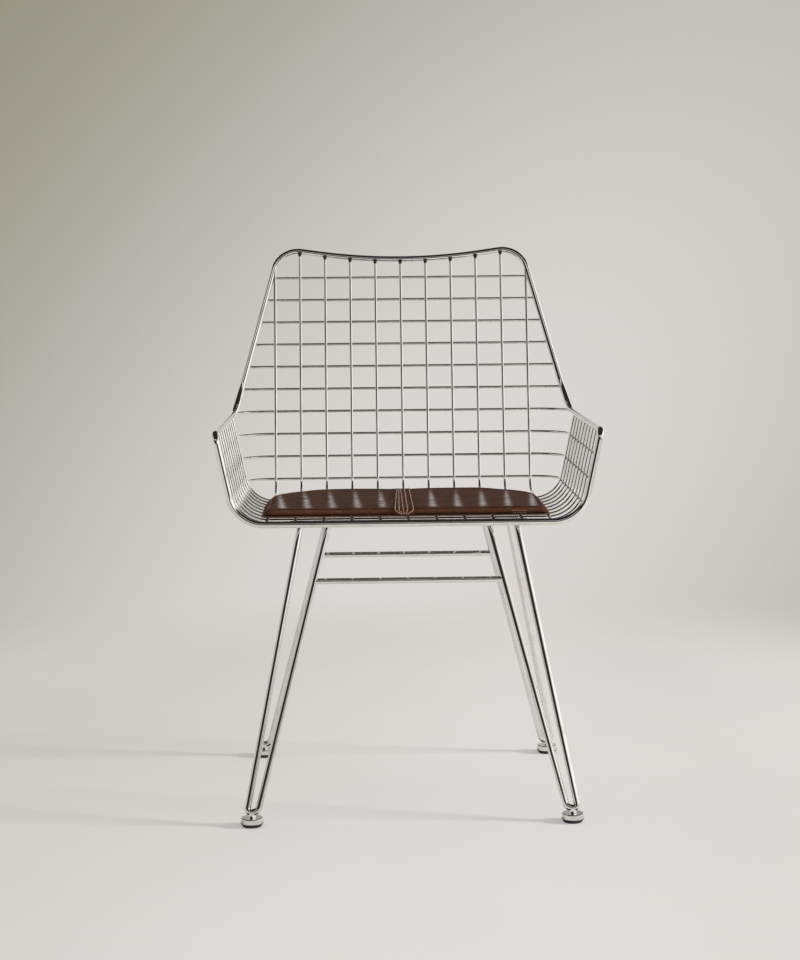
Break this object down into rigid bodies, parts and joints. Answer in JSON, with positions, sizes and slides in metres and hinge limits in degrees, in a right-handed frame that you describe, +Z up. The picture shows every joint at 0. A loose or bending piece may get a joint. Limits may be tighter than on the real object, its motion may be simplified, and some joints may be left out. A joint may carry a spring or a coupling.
{
  "type": "wire armchair",
  "caption": "Bucket armchair of welded chrome wire grid in a bent rim rod, on splayed hairpin legs with swivelling disc glides, with a loose stitched leather seat pad.",
  "frame": {"origin": "on the floor, under the middle of the chair's bounding box", "axes": "+Z up, +X to the right seen from in front of the chair, +Y to the back (the chair faces -Y)"},
  "size_m": [0.5816, 0.567, 0.8473],
  "materials": {
    "chrome_rod": "polished chrome plate on bent steel rod",
    "chrome_wire": "polished chrome plate on welded steel wire",
    "chrome_foot": "polished chrome plate on turned steel",
    "glide_plastic": "matt black",
    "pad_leather": "dark brown leather with a soft sheen",
    "band_leather": "dark red-brown leather with tan stitching"
  },
  "bodies": {
    "frame": {"rim": "chrome_rod", "long_wire_01": "chrome_wire", "long_wire_02": "chrome_wire", "long_wire_03": "chrome_wire", "long_wire_04": "chrome_wire", "long_wire_05": "chrome_wire", "long_wire_06": "chrome_wire", "long_wire_07": "chrome_wire", "long_wire_08": "chrome_wire", "long_wire_09": "chrome_wire", "long_wire_10": "chrome_wire", "long_wire_11": "chrome_wire", "hoop_wire_01": "chrome_wire", "hoop_wire_02": "chrome_wire", "hoop_wire_03": "chrome_wire", "hoop_wire_04": "chrome_wire", "hoop_wire_05": "chrome_wire", "hoop_wire_06": "chrome_wire", "hoop_wire_07": "chrome_wire", "hoop_wire_08": "chrome_wire", "hoop_wire_09": "chrome_wire", "back_wire_01": "chrome_wire", "back_wire_02": "chrome_wire", "back_wire_03": "chrome_wire", "back_wire_04": "chrome_wire", "back_wire_05": "chrome_wire", "back_wire_06": "chrome_wire", "kink_wire": "chrome_wire", "wrap_wire_01": "chrome_wire", "wrap_wire_02": "chrome_wire", "wrap_wire_03": "chrome_wire", "seat_bearer_front": "chrome_rod", "seat_bearer_rear": "chrome_rod", "leg_front_left": "chrome_rod", "leg_front_right": "chrome_rod", "leg_rear_left": "chrome_rod", "leg_rear_right": "chrome_rod", "foot_neck_front_left": "chrome_foot", "foot_neck_front_right": "chrome_foot", "foot_neck_rear_left": "chrome_foot", "foot_neck_rear_right": "chrome_foot", "stretcher_front": "chrome_rod", "stretcher_rear": "chrome_rod"},
    "glide_front_left": {"glide_disc_front_left": "chrome_foot", "glide_base_front_left": "glide_plastic"},
    "glide_front_right": {"glide_disc_front_right": "chrome_foot", "glide_base_front_right": "glide_plastic"},
    "glide_rear_left": {"glide_disc_rear_left": "chrome_foot", "glide_base_rear_left": "glide_plastic"},
    "glide_rear_right": {"glide_disc_rear_right": "chrome_foot", "glide_base_rear_right": "glide_plastic"},
    "pad": {"seat_pad": "pad_leather", "pad_centre_band": "band_leather"}
  },
  "joints": [
    {"name": "glide_swivel_front_left", "type": "hinge", "parent": "frame", "child": "glide_front_left", "pos_m": [-0.2375, -0.26651, 0.009], "axis": [0, 0, 1], "continuous": true},
    {"name": "glide_swivel_front_right", "type": "hinge", "parent": "frame", "child": "glide_front_right", "pos_m": [0.2375, -0.26651, 0.009], "axis": [0, 0, 1], "continuous": true},
    {"name": "glide_swivel_rear_left", "type": "hinge", "parent": "frame", "child": "glide_rear_left", "pos_m": [-0.2375, 0.16049, 0.009], "axis": [0, 0, 1], "continuous": true},
    {"name": "glide_swivel_rear_right", "type": "hinge", "parent": "frame", "child": "glide_rear_right", "pos_m": [0.2375, 0.16049, 0.009], "axis": [0, 0, 1], "continuous": true},
    {"name": "pad_lift_off", "type": "slide", "parent": "frame", "child": "pad", "axis": [0, 0, 1], "range_m": [0, 0.25]}
  ]
}
